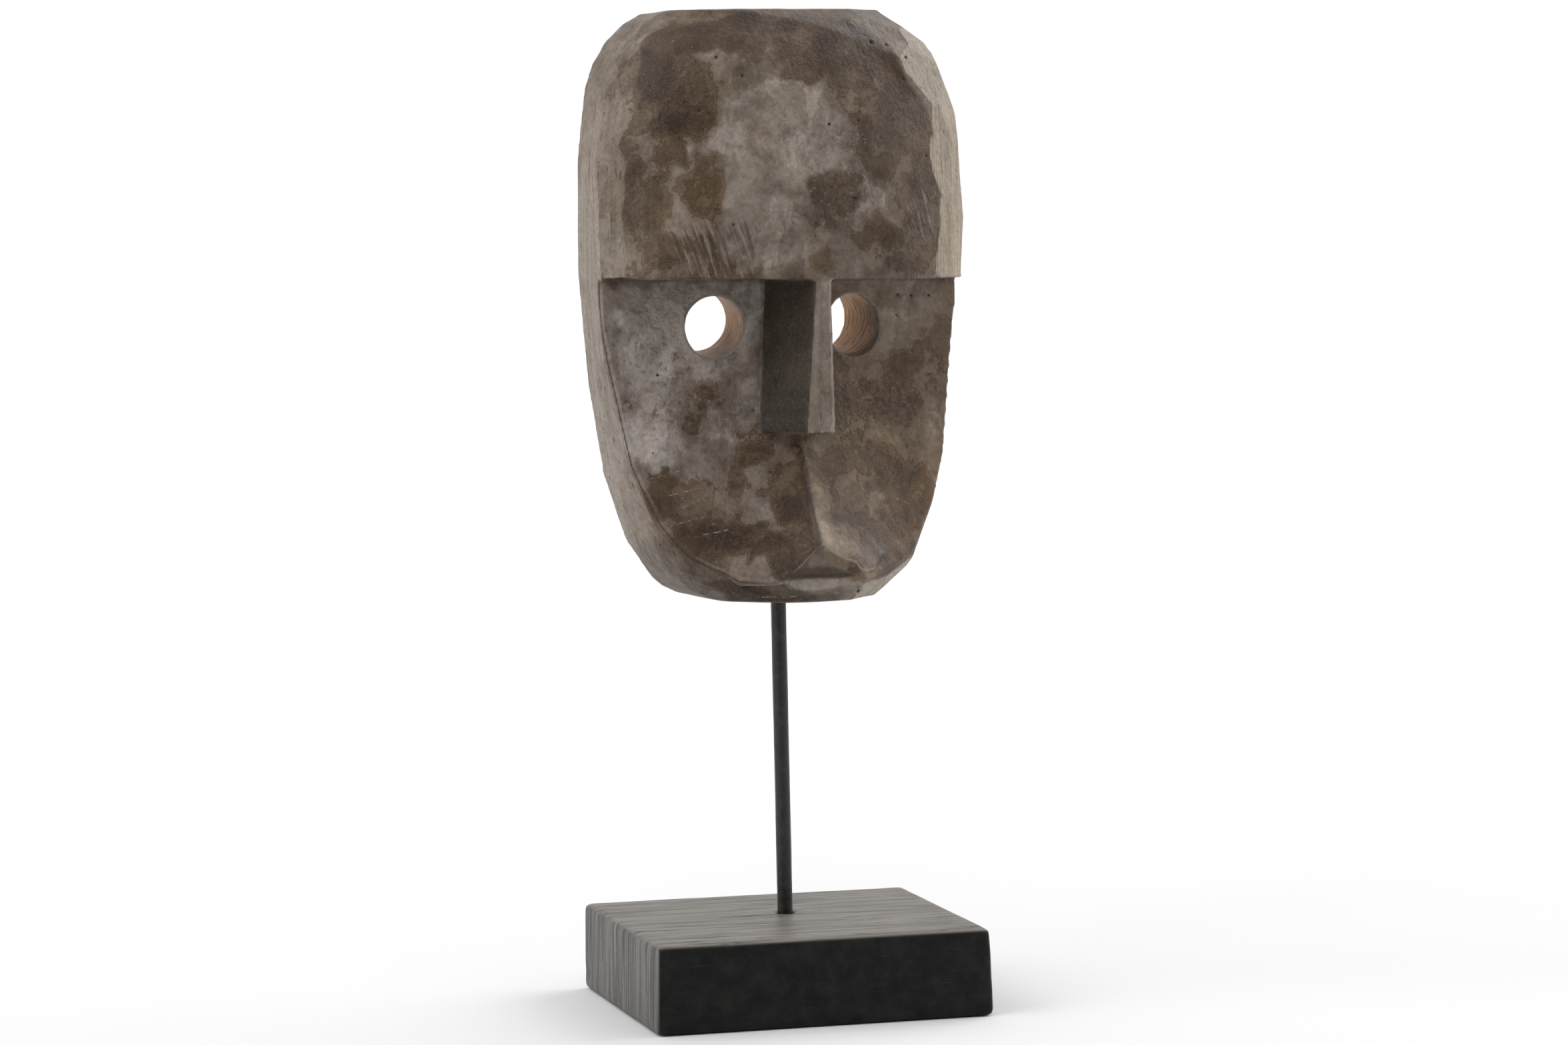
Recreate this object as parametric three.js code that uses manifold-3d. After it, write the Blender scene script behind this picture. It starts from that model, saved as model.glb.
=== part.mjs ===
// Hewn wooden tribal mask carried by a thin metal rod on a rectangular wood block. Millimetres, +Z up.
// The front looks along -Y, +X is to the right seen from the front, and the origin is the middle of
// the block's underside.
import * as THREE from "three";
import { ConvexGeometry } from "three/addons/geometries/ConvexGeometry.js";
import Module from "manifold-3d";

const wasm = await Module();
wasm.setup();

// Block
const BASE_W = 172, BASE_D = 134, BASE_H = 44;
const BASE_EDGE = 2.4; // worn edge radius
const BASE_FLARE = 2.2, BASE_SKEW = 1.6; // right end leans out at its foot, left end runs off to the back

// Rod
const ROD_D = 8, ROD_FOOT = [3.0, 10.0], ROD_LEAN = 1.3; // degrees towards -X
const SOCKET_BASE = 26, SOCKET_MASK = 24, GAP = 0.3;

// Mask, in its own frame: x to its left-right, p forward from the cheek's outer edge, z up
const MASK_TURN = 8.5, MASK_AT = [0.33, 5.4];
const Z_TOP = 498.4, TOP_TILT = 1.5, Z_BOTTOM = 205.4, Z_BROW = 365.2;
const BACK = -34; // p of the flat back
const HALF_W = 99.0, Z_WIDE = 376, ROUND_TOP = 3.5, ROUND_LOW = 4.7, TAPER = 0.23, TAPER_POWER = 1.45;
const FRONT = 46, Z_FRONT = 375, FRONT_FALL = 4, DOME_TOP = 3.6, CHIN_ROUND = 14;
const Z_CROWN = 504.2, Z_FOOT = 203.2; // where the rounded loaf would close without its flat ends
const SIDE_TOP = 0.3, SIDE_LOW = 0.43, PLAN_TOP = 2.45, PLAN_LOW = 1.85; // boxy above, rounder at the jaw
const SWAY = 0.012, Z_SWAY = 400; // the block leans a little to its left
const STROKE = 0.5; // how far one hewn facet may be deeper than another

// Cheeks, scooped back under the brow
const CHEEK_ROOT = 8, CHEEK_RISE = 51, CHEEK_POWER = 2.3, SPREAD_TOP = 0.10, SPREAD_LOW = 0.30;
const Z_LOBE = 213;

// Nose, left standing between the cheeks
const NOSE_Z = 289.5, NOSE_TOP_FRONT = 4.0, NOSE_TOP_ROOT = 13.5, NOSE_LOW_FRONT = 8.2, NOSE_LOW_ROOT = 19;
const NOSE_WAIST = 1.4; // how much the root is drawn in at mid height

// Eye holes
const EYE_D = 31, EYE_X = 38.3, EYE_SHIFT = -1.1, EYE_Z = 340.8, EYE_LIFT = 0.6, EYE_TOE = 6.7, EYE_RISE = 6;

// Mouth notch
const MOUTH_HALF = 22.5, MOUTH_Z = 218.2, MOUTH_P = 42, LIP_UP = 5.5, LIP_DOWN = 6, MOUTH_DEPTH = 4.5;

// Shallow dish in the back
const DISH_W = 66, DISH_H = 118, DISH_DEPTH = 10, DISH_Z = 354;

// Seeded numbers between 0 and 1, so that every build hews the same facets.
function dice(seed) {
  let s = seed >>> 0;
  return () => {
    s = (Math.imul(s, 1664525) + 1013904223) >>> 0;
    return s / 4294967296;
  };
}

// A closed geometry as a solid.
function solid(geometry) {
  const flat = geometry.index ? geometry.toNonIndexed() : geometry;
  const at = flat.getAttribute("position");
  const seen = new Map(), verts = [], tris = [];
  for (let i = 0; i < at.count; i++) {
    const v = [at.getX(i), at.getY(i), at.getZ(i)];
    const key = v.map((c) => Math.round(c * 1e4)).join();
    if (!seen.has(key)) {
      seen.set(key, verts.length / 3);
      verts.push(...v);
    }
    tris.push(seen.get(key));
  }
  const kept = [];
  for (let i = 0; i < tris.length; i += 3) {
    const [a, b, c] = tris.slice(i, i + 3);
    if (a !== b && b !== c && a !== c) kept.push(a, b, c);
  }
  return new wasm.Manifold(
    new wasm.Mesh({
      numProp: 3,
      vertProperties: new Float32Array(verts),
      triVerts: new Uint32Array(kept),
    }),
  );
}

// A named mesh of a solid.
function mesh(name, body, color, roughness, metalness) {
  const m = body.getMesh(), n = m.numProp, v = new Float32Array(m.numVert * 3);
  for (let i = 0; i < m.numVert; i++) v.set(m.vertProperties.subarray(i * n, i * n + 3), i * 3);
  const g = new THREE.BufferGeometry()
    .setAttribute("position", new THREE.BufferAttribute(v, 3))
    .setIndex(new THREE.BufferAttribute(m.triVerts, 1));
  g.computeVertexNormals();
  const made = new THREE.Mesh(g, new THREE.MeshStandardMaterial({ color, roughness, metalness }));
  made.name = name;
  return made;
}

// The solid half of space behind a plane, as a large block.
const FAR = 900;
function halfSpace(point, normal) {
  const g = new THREE.BoxGeometry(FAR, FAR, FAR).translate(0, 0, -FAR / 2);
  const turn = new THREE.Quaternion().setFromUnitVectors(new THREE.Vector3(0, 0, 1), normal);
  return solid(g.applyQuaternion(turn).translate(point.x, point.y, point.z));
}

// A cylinder between two points.
function pin(from, to, radius, sides = 48) {
  const axis = to.clone().sub(from);
  const g = new THREE.CylinderGeometry(radius, radius, axis.length(), sides);
  const turn = new THREE.Quaternion().setFromUnitVectors(
    new THREE.Vector3(0, 1, 0), axis.clone().normalize());
  const mid = from.clone().add(to).multiplyScalar(0.5);
  return solid(g.applyQuaternion(turn).translate(mid.x, mid.y, mid.z));
}

// A convex solid through the given points: every point is a corner or lies inside.
const hull = (points) => solid(new ConvexGeometry(points));

// The mask's smooth loaf, before it is hewn: half-width and forward reach at a height.
const bow = (t, k) => Math.pow(Math.max(0, 1 - Math.pow(Math.max(0, t), k)), 1 / k);
function halfWidth(z) {
  if (z >= Z_WIDE) return HALF_W * bow((z - Z_WIDE) / (Z_CROWN - Z_WIDE), ROUND_TOP);
  const s = (Z_WIDE - z) / (Z_WIDE - Z_FOOT);
  return HALF_W * (1 - TAPER * Math.pow(s, TAPER_POWER)) * bow(s, ROUND_LOW);
}
function reach(z) {
  if (z >= Z_FRONT) return BACK + (FRONT - BACK) * bow((z - Z_FRONT) / (Z_CROWN - Z_FRONT), DOME_TOP);
  const s = (Z_FRONT - z) / (Z_FRONT - Z_FOOT);
  return BACK + (FRONT - BACK - FRONT_FALL * s) * bow(s, CHIN_ROUND);
}
// A point of the loaf at a height and at an angle round from the front (-1 left side, 1 right side).
function loaf(z, round) {
  const a = (round * Math.PI) / 2, w = halfWidth(z), r = reach(z);
  const low = Math.max(0, (Z_FRONT - z) / (Z_FRONT - Z_FOOT));
  const side = BACK + (SIDE_TOP + (SIDE_LOW - SIDE_TOP) * low) * (r - BACK);
  const power = 2 / (PLAN_TOP + (PLAN_LOW - PLAN_TOP) * low);
  const x = w * Math.sign(Math.sin(a)) * Math.pow(Math.abs(Math.sin(a)), power);
  const p = side + (r - side) * Math.pow(Math.max(0, Math.cos(a)), power);
  return new THREE.Vector3(x + SWAY * (Z_SWAY - z), -p, z);
}
function loafNormal(z, round) {
  const e = 0.004, dz = 0.4;
  const along = loaf(z, round + e).sub(loaf(z, round - e));
  const up = loaf(z + dz, round).sub(loaf(z - dz, round));
  return along.cross(up).normalize();
}

// Hewn strips round the loaf: where each runs, and the heights of its facets.
const STRIPS = [
  [-0.90, [480, 446, 392, 300, 250, 222]], [-0.775, [487, 460, 404, 318, 262, 233, 212]],
  [-0.69, [482, 436, 372, 290, 238, 216]], [-0.44, [492, 466, 412, 330, 211]],
  [-0.18, [486, 442, 382]], [0.08, [493, 468, 415, 330]],
  [0.34, [484, 438, 386]], [0.51, [493, 468, 424, 376, 300, 229, 211]],
  [0.63, [482, 450, 400, 330, 252, 219]], [0.79, [490, 466, 426, 370, 290, 236, 211]],
  [0.93, [474, 410, 310, 255, 224]],
];
const SIDE_LEVELS = [495, 487, 477, 464, 446, 376, 290, 245, 226, 214, 208, 205.6]; // facets of both sides
// Behind them the sides are drawn in towards the back: height of each facet, and p where it starts.
const HEELS = [[438, -14], [400, -13], [345, -17], [292, -22], [250, -22], [224, -20]];
const HEEL_LEAN = 5; // degrees
const MUZZLE = [[42.4, 232, 1.5], [41.2, 211, 14], [36, 207, 42]]; // reach, height, downward tilt of its planes

function hewnBlock() {
  const roll = dice(20), tilt = THREE.MathUtils.degToRad(TOP_TILT);
  const corners = [];
  for (const x of [-1, 1]) for (const y of [-60, -BACK]) for (const z of [Z_BOTTOM, Z_TOP + 20])
    corners.push(new THREE.Vector3(x * (HALF_W + 6), y, z));
  let body = hull(corners);
  const hew = (point, normal) => (body = body.intersect(halfSpace(point, normal)));
  hew(new THREE.Vector3(0, 0, Z_TOP), new THREE.Vector3(-Math.sin(tilt), 0, Math.cos(tilt)));
  for (const [strip, heights] of STRIPS)
    for (const level of heights) {
      const round = strip + (roll() - 0.5) * 0.06 * (1.3 - Math.abs(strip));
      const z = level + (roll() - 0.5) * 8;
      const n = loafNormal(z, round);
      hew(loaf(z, round).addScaledVector(n, STROKE * (0.6 - roll())), n);
    }
  const back = Math.tan(THREE.MathUtils.degToRad(HEEL_LEAN));
  for (const side of [-1, 1]) {
    const outward = (z, y) => loafNormal(z, side * 0.995).setY(y).normalize();
    for (const z of SIDE_LEVELS) hew(loaf(z, side), outward(z, 0));
    for (const [z, p] of HEELS) hew(loaf(z, side).setY(-p), outward(z, back));
  }
  for (const [p, z, down] of MUZZLE) {
    const a = THREE.MathUtils.degToRad(down);
    hew(new THREE.Vector3(0, -p, z), new THREE.Vector3(0.03, -Math.cos(a), -Math.sin(a)).normalize());
  }
  return body;
}

// The cheek surface: how far forward it stands at x and height z.
function cheek(x, z) {
  const s = Math.max(0, (Z_BROW - z) / (Z_BROW - Z_LOBE));
  const ridge = CHEEK_ROOT + CHEEK_RISE * Math.pow(s, CHEEK_POWER);
  const spread = SPREAD_TOP + SPREAD_LOW * Math.pow(s / 0.855, 3);
  return ridge - spread * Math.abs(x);
}

// Everything in front of the cheeks and under the brow.
function faceCut() {
  const NX = 8, NZ = 14, XMAX = 125, PMAX = 90, ZMIN = 190;
  const xs = [], zs = [];
  for (let i = -NX; i <= NX; i++) xs.push((i / NX) * XMAX);
  for (let j = 0; j <= NZ; j++) zs.push(ZMIN + (Z_BROW - ZMIN) * (j / NZ));
  const near = (i, j) => [xs[i], -cheek(xs[i], zs[j]), zs[j]];
  const far = (i, j) => [xs[i], -PMAX, zs[j]];
  const v = [];
  const quad = (a, b, c, d) => v.push(...a, ...b, ...c, ...a, ...c, ...d);
  const I = xs.length - 1, J = zs.length - 1;
  for (let i = 0; i < I; i++)
    for (let j = 0; j < J; j++) {
      if (i < I / 2) quad(near(i, j), near(i, j + 1), near(i + 1, j + 1), near(i + 1, j));
      else quad(near(i, j + 1), near(i + 1, j + 1), near(i + 1, j), near(i, j));
      quad(far(i, j), far(i + 1, j), far(i + 1, j + 1), far(i, j + 1));
    }
  for (let j = 0; j < J; j++) {
    quad(near(0, j), far(0, j), far(0, j + 1), near(0, j + 1));
    quad(far(I, j), near(I, j), near(I, j + 1), far(I, j + 1));
  }
  for (let i = 0; i < I; i++) {
    quad(near(i, 0), near(i + 1, 0), far(i + 1, 0), far(i, 0));
    quad(near(i, J), far(i, J), far(i + 1, J), near(i + 1, J));
  }
  const g = new THREE.BufferGeometry();
  g.setAttribute("position", new THREE.Float32BufferAttribute(v, 3));
  return solid(g);
}

// A closed solid through rings of the same number of points, each ring in order round the section.
function loft(rings) {
  const v = [], count = rings[0].length, last = rings.length - 1;
  const tri = (a, b, c) => v.push(...a, ...b, ...c);
  for (let j = 0; j < last; j++)
    for (let i = 0; i < count; i++) {
      const k = (i + 1) % count;
      tri(rings[j][i], rings[j][k], rings[j + 1][k]);
      tri(rings[j][i], rings[j + 1][k], rings[j + 1][i]);
    }
  for (let i = 1; i < count - 1; i++) {
    tri(rings[0][0], rings[0][i + 1], rings[0][i]);
    tri(rings[last][0], rings[last][i], rings[last][i + 1]);
  }
  return solid(new THREE.BufferGeometry().setAttribute("position", new THREE.Float32BufferAttribute(v, 3)));
}

// The nose widens downwards; each flank runs straight from its front edge to its root.
function nose() {
  const rings = [], steps = 10;
  for (let j = 0; j <= steps; j++) {
    const t = j / steps, mix = (low, top) => low + (top - low) * t;
    const z = mix(NOSE_Z, Z_BROW + 6), front = mix(NOSE_LOW_FRONT, NOSE_TOP_FRONT);
    const frontP = mix(42.5, 46), rootP = mix(17, 6);
    const root = mix(NOSE_LOW_ROOT, NOSE_TOP_ROOT) - NOSE_WAIST * Math.sin(Math.PI * t);
    const slope = (root - front) / (frontP - rootP);
    const at = (p) => Math.max(0.5, front + slope * (frontP - p));
    rings.push([[-at(60), -60, z], [at(60), -60, z], [at(-12), 12, z], [-at(-12), 12, z]]);
  }
  return loft(rings);
}

function eyeHole(side) {
  const toe = THREE.MathUtils.degToRad(EYE_TOE), rise = THREE.MathUtils.degToRad(EYE_RISE);
  const z = EYE_Z + (side > 0 ? EYE_LIFT : 0);
  const front = new THREE.Vector3(side * EYE_X + EYE_SHIFT, -cheek(EYE_X, z), z);
  const inward = new THREE.Vector3(-side * Math.tan(toe), 1, Math.tan(rise)).normalize();
  return pin(front.clone().addScaledVector(inward, -40), front.clone().addScaledVector(inward, 80), EYE_D / 2);
}

// A lens-shaped notch: the upper face slopes in under the lip line, the lower face comes out again.
function mouth() {
  const points = [], steps = 6, out = 1.8;
  for (let i = -steps; i <= steps; i++) {
    const t = i / steps, x = t * MOUTH_HALF, open = 1 - t * t;
    const inner = MOUTH_P - MOUTH_DEPTH * open;
    const face = (dz, fall) => new THREE.Vector3(x, -(inner + out * (MOUTH_DEPTH - fall) * open), MOUTH_Z + out * dz * open);
    if (Math.abs(i) === steps) points.push(new THREE.Vector3(x, -MOUTH_P, MOUTH_Z));
    else points.push(new THREE.Vector3(x, -inner, MOUTH_Z), face(LIP_UP, 0), face(-LIP_DOWN, 1.2));
  }
  return hull(points);
}

// The dish is hewn too: the facets of a shallow oval bowl, deepest in the middle.
function dish() {
  const corners = [];
  for (const x of [-1, 1]) for (const z of [-1, 1]) for (const y of [-BACK + 8, -BACK - DISH_DEPTH])
    corners.push(new THREE.Vector3(x * (DISH_W + 20), y, DISH_Z + z * (DISH_H + 20)));
  let bowl = hull(corners);
  const roll = dice(7);
  for (const [share, count] of [[0.18, 3], [0.45, 8], [0.7, 11], [0.92, 15]])
    for (let i = 0; i < count; i++) {
      const a = ((i + roll() * 0.5) / count) * Math.PI * 2, u = share * Math.cos(a), v = share * Math.sin(a);
      const at = new THREE.Vector3(u * DISH_W, -BACK - DISH_DEPTH * (1 - share * share), DISH_Z + v * DISH_H);
      const n = new THREE.Vector3((2 * DISH_DEPTH * u) / DISH_W, -1, (2 * DISH_DEPTH * v) / DISH_H).normalize();
      bowl = bowl.intersect(halfSpace(at, n));
    }
  return bowl;
}

// Rod axis in the object's frame
const lean = THREE.MathUtils.degToRad(ROD_LEAN);
const axis = new THREE.Vector3(-Math.sin(lean), 0, Math.cos(lean));
const foot = new THREE.Vector3(ROD_FOOT[0], ROD_FOOT[1], BASE_H);
const along = (z) => foot.clone().addScaledVector(axis, (z - BASE_H) / axis.z);

function buildMask() {
  let body = hewnBlock().subtract(faceCut().subtract(nose()));
  for (const side of [-1, 1]) body = body.subtract(eyeHole(side));
  body = body.subtract(mouth()).subtract(dish());
  const g = mesh("mask", body, 0x75695e, 0.75, 0).geometry;
  g.rotateZ(THREE.MathUtils.degToRad(MASK_TURN)).translate(MASK_AT[0], MASK_AT[1], 0);
  body = solid(g).subtract(pin(along(Z_BOTTOM - 30), along(Z_BOTTOM + SOCKET_MASK), ROD_D / 2 + GAP));
  return mesh("mask", body, 0x75695e, 0.75, 0);
}

function buildBase() {
  const points = [];
  const r = BASE_EDGE;
  for (const sx of [-1, 1]) for (const sy of [-1, 1]) for (const sz of [0, 1]) {
    const flare = (sx > 0 && sz === 0 ? BASE_FLARE : 0) - (sx < 0 && sy > 0 ? BASE_SKEW : 0);
    const c = [sx * (BASE_W / 2 - r) + flare, sy * (BASE_D / 2 - r), sz ? BASE_H - r : r];
    for (let a = 0; a <= 3; a++) for (let b = 0; b <= 3; b++) {
      const u = (a / 3) * Math.PI / 2, w = (b / 3) * Math.PI / 2;
      points.push(new THREE.Vector3(
        c[0] + sx * r * Math.cos(u) * Math.cos(w),
        c[1] + sy * r * Math.sin(u) * Math.cos(w),
        c[2] + (sz ? 1 : -1) * r * Math.sin(w)));
    }
  }
  const body = hull(points).subtract(pin(along(BASE_H - SOCKET_BASE), along(BASE_H + 20), ROD_D / 2 + GAP));
  return mesh("base", body, 0x1f1e1d, 0.5, 0);
}

function buildRod() {
  const body = pin(along(BASE_H - SOCKET_BASE + GAP), along(Z_BOTTOM + SOCKET_MASK - GAP), ROD_D / 2);
  return mesh("rod", body, 0x151515, 0.4, 0.7);
}

const part = new THREE.Group();
part.add(buildMask(), buildRod(), buildBase());
export default part;
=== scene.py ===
"""The looks of a hewn wooden mask on a thin metal rod and a black wood block.

The solids of the frame give every piece its size and place. Each piece here is a finer copy of one
solid, with its tool marks, wear and stains. Metres, +Z up, the front looks along -Y."""
import math
from types import SimpleNamespace

import bmesh
import bpy
import numpy as np
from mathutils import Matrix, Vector


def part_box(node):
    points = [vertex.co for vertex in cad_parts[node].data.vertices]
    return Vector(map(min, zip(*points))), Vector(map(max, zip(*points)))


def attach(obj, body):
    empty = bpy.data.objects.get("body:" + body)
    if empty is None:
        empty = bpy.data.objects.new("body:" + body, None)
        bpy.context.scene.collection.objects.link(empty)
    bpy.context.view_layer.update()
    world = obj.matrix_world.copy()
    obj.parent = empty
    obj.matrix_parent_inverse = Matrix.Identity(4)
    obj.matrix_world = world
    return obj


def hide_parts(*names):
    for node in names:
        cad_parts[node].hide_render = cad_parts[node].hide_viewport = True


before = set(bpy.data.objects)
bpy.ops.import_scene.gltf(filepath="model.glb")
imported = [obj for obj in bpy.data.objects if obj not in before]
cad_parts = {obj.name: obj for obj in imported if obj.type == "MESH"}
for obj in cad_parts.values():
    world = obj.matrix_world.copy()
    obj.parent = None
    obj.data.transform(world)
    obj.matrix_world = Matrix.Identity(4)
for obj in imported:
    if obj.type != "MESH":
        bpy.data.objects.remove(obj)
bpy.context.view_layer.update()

MM = 0.001

# The mask's own frame, in millimetres: x to the right, p forward, z up
MASK_TURN, MASK_AT = math.radians(8.5), (0.33, 5.4)
Z_CROWN, Z_WIDEST, Z_DEEPEST, Z_BROW = 504.2, 376.0, 375.0, 365.2
Z_NOSE, Z_MOUTH, Z_LOBE, Z_FOOT = 289.5, 218.2, 213.0, 203.2
BACK, FRONT, HALF_W = -34.0, 46.0, 99.0

# Ahead of MUZZLE_FROM the cheeks end in two lobes, with the mouth under them
MUZZLE_FROM, MOUTH_MIDDLE, MOUTH_HALF = 30, 0.5, 22.5

# The eye holes: the centre of each where it leaves the cheek, and how far they turn in and climb
EYES = ((-39.4, 340.8), (37.2, 341.4))
EYE_TOE, EYE_RISE = math.radians(6.7), math.radians(6.0)

# How deep the finer cuts in the mask go, in millimetres
NICK, WORM_HOLE, KNIFE_LINE, GROOVE = 1.2, 1.1, 0.5, 0.35

# How far the right lobe stands out beside the left one, and the lower edge of both over the mouth
LOBE_STEP, LOBE_LIP = 1.1, 0.9

# The block's upper edge at its right end, worn more than the others, as x and z
WORN_EDGE = (101, 44)

# The block's dents: x, y, z, size, depth
DENTS = (
    (-47, -67, 43, 3.2, 0.9), (-80, -20, 22, 1.6, 1.2), (40, -67, 24, 1.8, 0.5), (88, -62, 40, 3.5, 0.8),
    (-87, 60, 8, 4.0, 1.4),
)

ROD_LEAN, ROD_RADIUS, ROD_FOOT = math.radians(1.3), 4.0, (3.0, 10.0, 44.0)
ROD_SIDES, ROD_RINGS = 64, 190

MASK_VOXEL, BASE_VOXEL = ((0.95, 0.9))
MASK_TRIANGLES, BASE_TRIANGLES = 190000, 90000

# Stands for any distance that is too great to matter
FAR_OFF = 9.0


# Seeded noise, from -1 to 1

def corner_value(i, j, k, seed):
    h = (i * 73856093) ^ (j * 19349663) ^ (k * 83492791) ^ (seed * 15485863)
    h = (h & 0xFFFFFFFF) * 2246822519 & 0xFFFFFFFF
    h ^= h >> 13
    h = h * 3266489917 & 0xFFFFFFFF
    h ^= h >> 16
    return (h & 0xFFFFF) / 0xFFFFF * 2 - 1


def noise(points, seed):
    cell = np.floor(points).astype(np.int64)
    f = points - cell
    f = f * f * f * (f * (f * 6 - 15) + 10)
    share = (1 - f, f)
    total = np.zeros(len(points))
    for a in (0, 1):
        for b in (0, 1):
            for c in (0, 1):
                w = share[a][:, 0] * share[b][:, 1] * share[c][:, 2]
                total += w * corner_value(cell[:, 0] + a, cell[:, 1] + b, cell[:, 2] + c, seed)
    return total


def rough(points, seed, octaves=3):
    """Noise in octaves, each half as wide and half as strong as the one before.

    For points in millimetres, the widest bumps of rough(points / 30, seed) are about 30 mm wide."""
    total, size, reach = 0.0, 1.0, 0.0
    for o in range(octaves):
        total = total + size * noise(points * 2 ** o, seed + o)
        reach += size
        size *= 0.5
    return total / reach


def step(lo, hi, v):
    """0 up to lo, 1 from hi on, and a smooth slope between; hi may be the lower one."""
    t = np.clip((v - lo) / (hi - lo), 0, 1)
    return t * t * (3 - 2 * t)


# Meshes

def vectors_of(mesh, source, name):
    out = np.empty(len(mesh.vertices) * 3, np.float32)
    source.foreach_get(name, out)
    return out.reshape(-1, 3).astype(float)


def points_of(mesh):
    return vectors_of(mesh, mesh.vertices, "co")


def normals_of(mesh):
    return vectors_of(mesh, mesh.vertex_normals, "vector")


def put_points(mesh, co):
    mesh.vertices.foreach_set("co", co.astype(np.float32).ravel())
    mesh.update()


def shade_smooth(mesh):
    mesh.polygons.foreach_set("use_smooth", np.ones(len(mesh.polygons), bool))


def linked(name, data):
    obj = bpy.data.objects.new(name, data)
    bpy.context.scene.collection.objects.link(obj)
    return obj


def applied(obj):
    bpy.context.view_layer.update()
    graph = bpy.context.evaluated_depsgraph_get()
    made = bpy.data.meshes.new_from_object(obj.evaluated_get(graph))
    obj.modifiers.clear()
    obj.data = made
    return obj


def fine_copy(node, name, voxel):
    """A copy of a solid with an even, fine mesh."""
    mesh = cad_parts[node].data.copy()
    work = bmesh.new()
    work.from_mesh(mesh)
    bmesh.ops.remove_doubles(work, verts=work.verts, dist=1e-6)
    work.to_mesh(mesh)
    work.free()
    mesh.materials.clear()
    obj = linked(name, mesh)
    remesh = obj.modifiers.new("even", "REMESH")
    remesh.mode, remesh.voxel_size = "VOXEL", voxel * MM
    return applied(obj)


def neighbours(mesh):
    edges = np.empty(len(mesh.edges) * 2, np.int32)
    mesh.edges.foreach_get("vertices", edges)
    a, b = edges.reshape(-1, 2).T
    start, end = np.concatenate([a, b]), np.concatenate([b, a])
    return start, end, np.bincount(start, minlength=len(mesh.vertices)).astype(float)


def averaged(values, links):
    start, end, count = links
    if values.ndim > 1:
        return np.stack([averaged(column, links) for column in values.T], 1)
    return np.bincount(start, values[end], len(count)) / count


def softened(co, links, rounds, share):
    """share is how strongly each point follows its neighbours, one number or one per point."""
    share = np.broadcast_to(share, (len(co),))[:, None]
    for _ in range(rounds):
        co = co + share * (averaged(co, links) - co)
    return co


def thinned(obj, triangles):
    now = sum(len(p.vertices) - 2 for p in obj.data.polygons)
    if now > triangles:
        thin = obj.modifiers.new("thin", "DECIMATE")
        thin.ratio = triangles / now
        applied(obj)


def keep(obj, **values):
    """Stores values on the points of a mesh, where its material reads them by name."""
    for name, each in values.items():
        layer = obj.data.attributes.new(name, "FLOAT", "POINT")
        layer.data.foreach_set("value", np.asarray(each, np.float32))


def kept(obj, name):
    out = np.empty(len(obj.data.vertices), np.float32)
    obj.data.attributes[name].data.foreach_get("value", out)
    return out


def convexity(co, normals, links, voxel):
    """Above 0 on outer edges, below 0 in creases."""
    bend = -np.einsum("ij,ij->i", averaged(co, links) - co, normals) / (voxel * MM)
    for _ in range(2):
        bend = 0.5 * bend + 0.5 * averaged(bend, links)
    return bend


# The forms of the mask that its looks follow

# Places on the front are given by u and z, in millimetres; u follows the curve of the brow
SLANT = 0.487  # u = x + SLANT * p

# The worked field of the brow, as u and z; the hewn strips lie outside it
FIELD = (
    (-85, 340), (-86, 399), (-86.5, 409), (-84, 422), (-88, 430), (-81, 446), (-77, 453), (-78.5, 463),
    (-75, 482), (-60, 491), (-38, 492), (-22, 496.5), (10, 497), (34, 495), (44, 490.5), (53, 483),
    (60, 479), (64, 470), (70, 460), (77.5, 452), (83.5, 437), (81, 430), (83, 419), (87.5, 407),
    (87, 390), (85, 366), (85, 340),
)

# Stains: u, z, half width, half height, strength (below 0 is a rubbed, pale patch, save the patches of
# painted light noted on the cheeks)
BROW_STAINS = (
    (-62, 480, 15, 9, 1.15), (-42, 484, 17, 9, 1.25), (-25, 487, 14, 12, 1.3), (-19, 479, 7, 6, 1.3),
    (-68, 464, 10, 11, 1.0), (-62, 439, 9, 8, 1.0), (-62, 426, 8, 7.5, 0.6), (-68, 404, 10, 13, 0.75),
    (-80, 407, 5.5, 16, 0.6), (-41, 411, 13, 15, 0.7), (-48, 450, 12, 18, 0.5), (-2, 491, 12, 5, 1.3),
    (0, 477, 9, 5, 1.0), (12, 469, 13, 5, 1.0), (35, 479, 18, 13, 1.25), (40, 463, 10, 4, 0.5),
    (16, 492, 18, 4, 0.6), (57, 475, 6, 9, 0.8), (65, 463, 6.5, 9, 0.85), (76, 440, 6, 17, 0.25),
    (57, 432, 10, 13, 0.2), (45, 431, 4.5, 10, 0.8), (29, 408, 14, 10, 0.55), (71, 409, 10, 7, 0.25),
    (51, 386, 12, 7, 0.9), (23, 373, 6, 5, 0.7), (-63, 379, 12, 8, 0.6), (-2, 436, 34, 24, -0.85),
    (-7, 450, 12, 9, -1.2), (-6, 402, 22, 16, -0.6), (-10, 380, 22, 10, -0.45), (46, 405, 7, 8, -0.7),
    (-40, 474, 9, 5, -0.45), (-50, 428, 4, 9, -0.5), (-75, 425, 8, 12, -0.3),
)
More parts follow.
